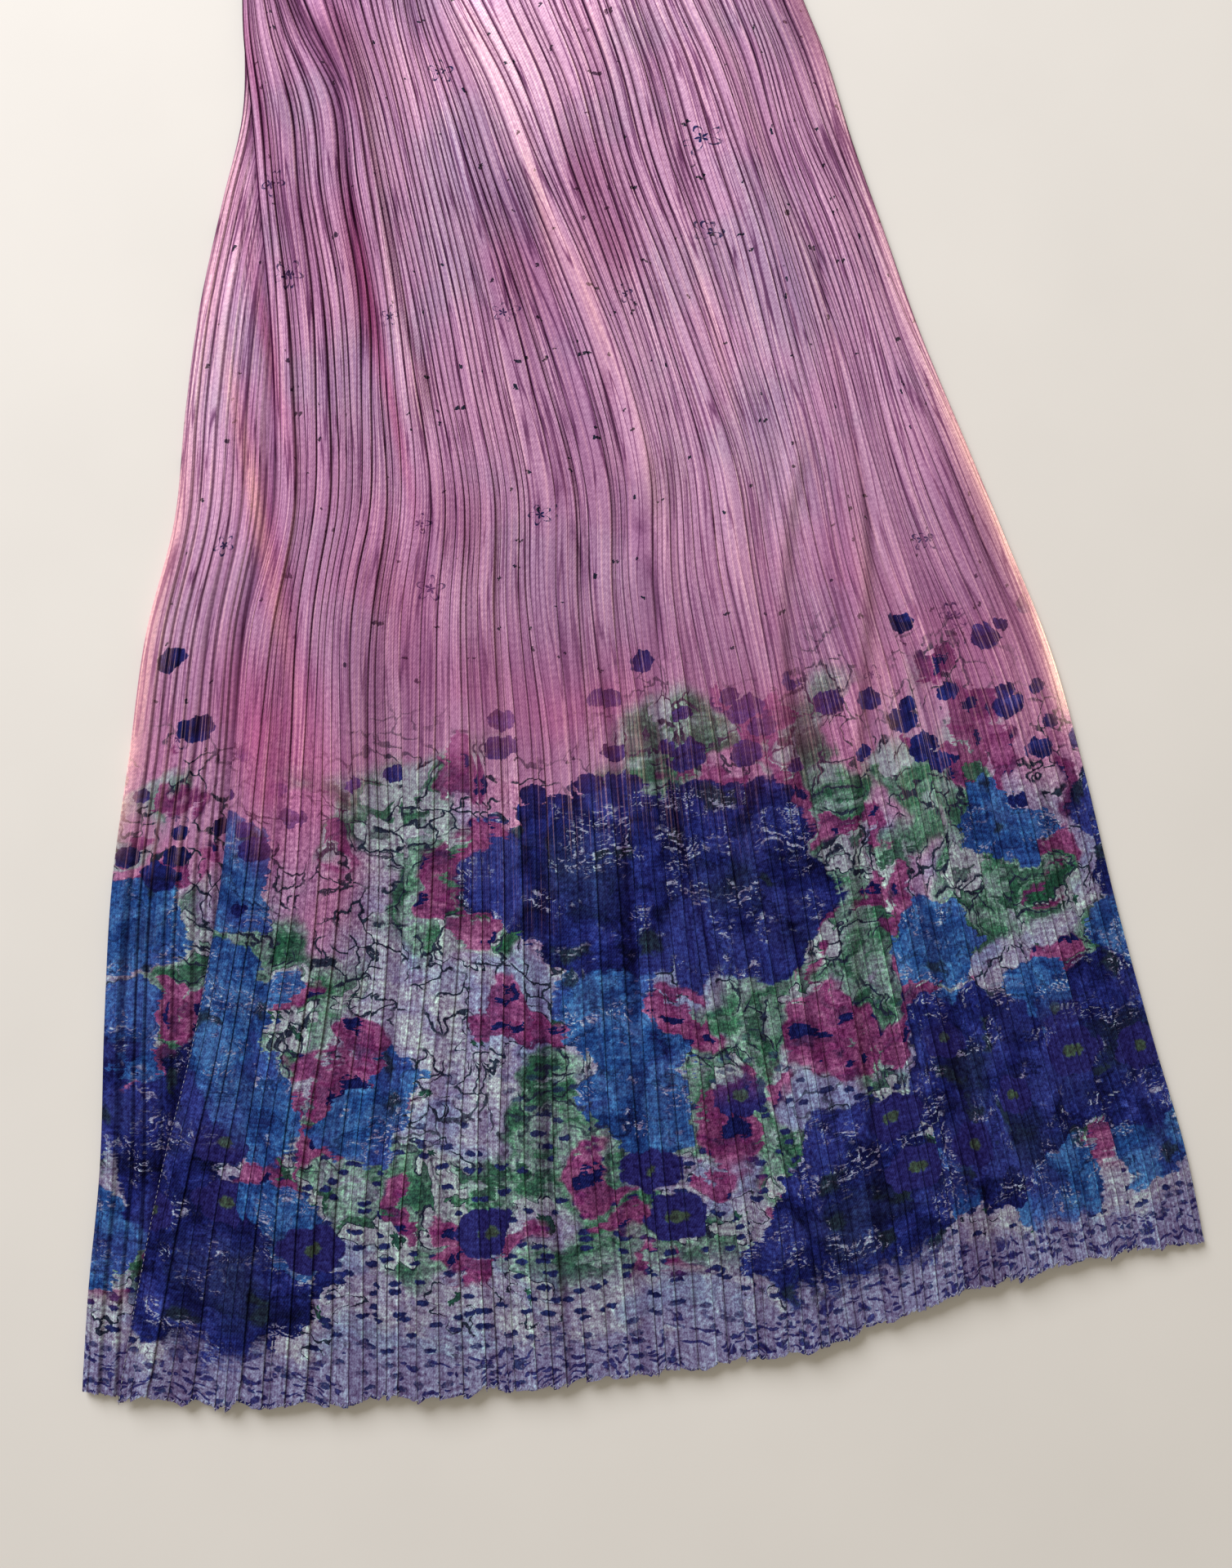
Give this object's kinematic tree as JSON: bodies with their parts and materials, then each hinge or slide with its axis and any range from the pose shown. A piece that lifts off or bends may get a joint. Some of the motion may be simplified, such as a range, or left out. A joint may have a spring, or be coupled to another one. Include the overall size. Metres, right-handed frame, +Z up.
{
  "type": "pleated skirt laid flat",
  "caption": "Long sheer skirt in fine knife pleats with a floral border print and an elastic waistband, laid flat.",
  "frame": {"origin": "middle of the laid skirt's length and width, on the surface that it lies on", "axes": "+X across the skirt to the right side seam, +Y from the hem to the waistband, +Z up from the surface through the back panel to the front panel"},
  "size_m": [0.621, 0.8226, 0.0171],
  "materials": {
    "pleated_cloth": "sheer woven polyester, heat-set in knife pleats, printed in mauve, blue, green and plum, soft sheen",
    "band_cloth": "the same cloth folded over an elastic, finely gathered, matt",
    "thread": "polyester sewing thread, lilac"
  },
  "bodies": {
    "root": {"back_panel": "pleated_cloth", "front_panel": "pleated_cloth", "waistband": "band_cloth"}
  },
  "joints": []
}
